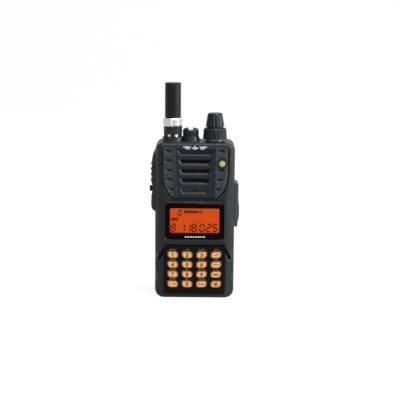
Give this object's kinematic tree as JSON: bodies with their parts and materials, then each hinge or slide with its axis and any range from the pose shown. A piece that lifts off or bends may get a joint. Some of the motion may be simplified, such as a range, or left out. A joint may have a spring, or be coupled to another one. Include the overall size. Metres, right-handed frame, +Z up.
{
  "type": "handheld aviation radio",
  "caption": "Handheld VHF airband radio with a slotted speaker panel, amber display, lit keypad, short antenna, two stacked knobs and a clip-on battery pack.",
  "frame": {"origin": "centre of the flat foot that the radio stands on", "axes": "+Z up towards the antenna, keypad and display face -Y, +X to the right when looking at the display"},
  "size_m": [0.0691, 0.0338, 0.1646],
  "materials": {
    "case_plastic": "fine moulded texture",
    "rear_plastic": "moulded texture",
    "panel_plastic": "satin black printed panel",
    "window_acrylic": "clear hard-coated acrylic with a black printed border",
    "lcd": "amber lit liquid crystal cell",
    "backlight": "white light guide",
    "key_silicone": "translucent lit keytop",
    "rubber_black": "moulded rubber",
    "rubber_grey": "moulded rubber",
    "knob_plastic": "fluted moulded knob",
    "nickel": "bright nickel plate",
    "steel": "plated steel",
    "brass_gold": "gold-plated contact",
    "board": "solder-masked glass-epoxy board",
    "lamp": "lit green lens",
    "cloth": "woven dust cloth",
    "cell_wrap": "shrink-wrapped lithium cell",
    "ferrite": "ferrite magnet",
    "black_plastic": "black moulded plastic"
  },
  "bodies": {
    "radio": {"front_case": "case_plastic", "rear_case": "rear_plastic", "case_gasket": "rubber_black", "case_screws": "steel", "display_window": "window_acrylic", "lcd_panel": "lcd", "backlight": "backlight", "speaker_cloth": "cloth", "speaker_frame": "steel", "speaker_cone": "black_plastic", "speaker_magnet": "ferrite", "microphone": "steel", "main_board": "board", "rf_shield": "steel", "keypad_board": "board", "dome_switches": "brass_gold", "keypad_mat": "key_silicone", "keypad_panel": "panel_plastic", "antenna_jack": "nickel", "mic_jack": "black_plastic", "control_pot": "steel", "status_lens": "lamp", "status_bezel": "black_plastic", "side_strip": "rubber_black", "side_switches": "black_plastic", "dc_jack": "black_plastic", "battery_terminals": "brass_gold"},
    "antenna": {"antenna_whip": "rubber_black", "antenna_skirt": "black_plastic"},
    "coupling_ring": {"coupling_ring": "nickel"},
    "ptt_bar": {"ptt_bar": "rubber_grey"},
    "monitor_button": {"monitor_button": "rubber_grey"},
    "lamp_button": {"lamp_button": "rubber_grey"},
    "volume": {"volume_knob": "knob_plastic", "volume_shaft": "steel"},
    "squelch": {"squelch_knob": "knob_plastic", "squelch_shaft": "steel"},
    "mic_jack_cap": {"mic_jack_cap": "knob_plastic"},
    "jack_cover": {"jack_cover": "rubber_grey"},
    "battery_pack": {"battery_shell": "rear_plastic", "battery_cells": "cell_wrap", "battery_contacts": "brass_gold", "latch_pin": "steel"},
    "battery_latch": {"battery_latch": "rear_plastic"},
    "key_1": {"key_1": "key_silicone"},
    "key_2": {"key_2": "key_silicone"},
    "key_3": {"key_3": "key_silicone"},
    "key_check": {"key_check": "key_silicone"},
    "key_4": {"key_4": "key_silicone"},
    "key_5": {"key_5": "key_silicone"},
    "key_6": {"key_6": "key_silicone"},
    "key_dual": {"key_dual": "key_silicone"},
    "key_7": {"key_7": "key_silicone"},
    "key_8": {"key_8": "key_silicone"},
    "key_9": {"key_9": "key_silicone"},
    "key_mode": {"key_mode": "key_silicone"},
    "key_mem": {"key_mem": "key_silicone"},
    "key_0": {"key_0": "key_silicone"},
    "key_clear": {"key_clear": "key_silicone"},
    "key_power": {"key_power": "key_silicone"}
  },
  "joints": [
    {"name": "key_1_press", "type": "slide", "parent": "radio", "child": "key_1", "axis": [0, 1, 0], "range_m": [0, 0.0008], "stiffness_N_per_m": 800, "springref_m": -0.0006},
    {"name": "key_2_press", "type": "slide", "parent": "radio", "child": "key_2", "axis": [0, 1, 0], "range_m": [0, 0.0008], "stiffness_N_per_m": 800, "springref_m": -0.0006},
    {"name": "key_3_press", "type": "slide", "parent": "radio", "child": "key_3", "axis": [0, 1, 0], "range_m": [0, 0.0008], "stiffness_N_per_m": 800, "springref_m": -0.0006},
    {"name": "key_check_press", "type": "slide", "parent": "radio", "child": "key_check", "axis": [0, 1, 0], "range_m": [0, 0.0008], "stiffness_N_per_m": 800, "springref_m": -0.0006},
    {"name": "key_4_press", "type": "slide", "parent": "radio", "child": "key_4", "axis": [0, 1, 0], "range_m": [0, 0.0008], "stiffness_N_per_m": 800, "springref_m": -0.0006},
    {"name": "key_5_press", "type": "slide", "parent": "radio", "child": "key_5", "axis": [0, 1, 0], "range_m": [0, 0.0008], "stiffness_N_per_m": 800, "springref_m": -0.0006},
    {"name": "key_6_press", "type": "slide", "parent": "radio", "child": "key_6", "axis": [0, 1, 0], "range_m": [0, 0.0008], "stiffness_N_per_m": 800, "springref_m": -0.0006},
    {"name": "key_dual_press", "type": "slide", "parent": "radio", "child": "key_dual", "axis": [0, 1, 0], "range_m": [0, 0.0008], "stiffness_N_per_m": 800, "springref_m": -0.0006},
    {"name": "key_7_press", "type": "slide", "parent": "radio", "child": "key_7", "axis": [0, 1, 0], "range_m": [0, 0.0008], "stiffness_N_per_m": 800, "springref_m": -0.0006},
    {"name": "key_8_press", "type": "slide", "parent": "radio", "child": "key_8", "axis": [0, 1, 0], "range_m": [0, 0.0008], "stiffness_N_per_m": 800, "springref_m": -0.0006},
    {"name": "key_9_press", "type": "slide", "parent": "radio", "child": "key_9", "axis": [0, 1, 0], "range_m": [0, 0.0008], "stiffness_N_per_m": 800, "springref_m": -0.0006},
    {"name": "key_mode_press", "type": "slide", "parent": "radio", "child": "key_mode", "axis": [0, 1, 0], "range_m": [0, 0.0008], "stiffness_N_per_m": 800, "springref_m": -0.0006},
    {"name": "key_mem_press", "type": "slide", "parent": "radio", "child": "key_mem", "axis": [0, 1, 0], "range_m": [0, 0.0008], "stiffness_N_per_m": 800, "springref_m": -0.0006},
    {"name": "key_0_press", "type": "slide", "parent": "radio", "child": "key_0", "axis": [0, 1, 0], "range_m": [0, 0.0008], "stiffness_N_per_m": 800, "springref_m": -0.0006},
    {"name": "key_clear_press", "type": "slide", "parent": "radio", "child": "key_clear", "axis": [0, 1, 0], "range_m": [0, 0.0008], "stiffness_N_per_m": 800, "springref_m": -0.0006},
    {"name": "key_power_press", "type": "slide", "parent": "radio", "child": "key_power", "axis": [0, 1, 0], "range_m": [0, 0.0008], "stiffness_N_per_m": 800, "springref_m": -0.0006},
    {"name": "ptt_press", "type": "slide", "parent": "radio", "child": "ptt_bar", "axis": [1, 0, 0], "range_m": [0, 0.0012], "stiffness_N_per_m": 1500, "springref_m": -0.0012},
    {"name": "monitor_press", "type": "slide", "parent": "radio", "child": "monitor_button", "axis": [1, 0, 0], "range_m": [0, 0.001], "stiffness_N_per_m": 900, "springref_m": -0.0008},
    {"name": "lamp_press", "type": "slide", "parent": "radio", "child": "lamp_button", "axis": [1, 0, 0], "range_m": [0, 0.001], "stiffness_N_per_m": 900, "springref_m": -0.0008},
    {"name": "volume_turn", "type": "hinge", "parent": "radio", "child": "volume", "pos_m": [0.01505, 0, 0.13], "axis": [0, 0, 1], "range_deg": [-270, 0]},
    {"name": "squelch_turn", "type": "hinge", "parent": "radio", "child": "squelch", "pos_m": [0.01505, 0, 0.125], "axis": [0, 0, 1], "range_deg": [-270, 0]},
    {"name": "cap_unscrew", "type": "hinge", "parent": "radio", "child": "mic_jack_cap", "pos_m": [-0.0035, 0, 0.127], "axis": [0, 0, 1], "range_deg": [0, 1080]},
    {"name": "antenna_lift", "type": "slide", "parent": "radio", "child": "antenna", "axis": [0, 0, 1], "range_m": [0, 0.012]},
    {"name": "ring_twist", "type": "hinge", "parent": "antenna", "child": "coupling_ring", "pos_m": [-0.01725, 0, 0.134], "axis": [0, 0, 1], "range_deg": [0, 90]},
    {"name": "cover_swing", "type": "hinge", "parent": "radio", "child": "jack_cover", "pos_m": [0.03175, -0.0025, 0.0555], "axis": [0, 1, 0], "range_deg": [0, 100], "stiffness_Nm_per_rad": 0.01, "springref_deg": -17.19},
    {"name": "battery_release", "type": "slide", "parent": "radio", "child": "battery_pack", "axis": [0, 1, 0], "range_m": [0, 0.015]},
    {"name": "latch_open", "type": "hinge", "parent": "battery_pack", "child": "battery_latch", "pos_m": [0, 0.0144, 0.002], "axis": [-1, 0, 0], "range_deg": [0, 75], "stiffness_Nm_per_rad": 0.02, "springref_deg": -17.19}
  ]
}
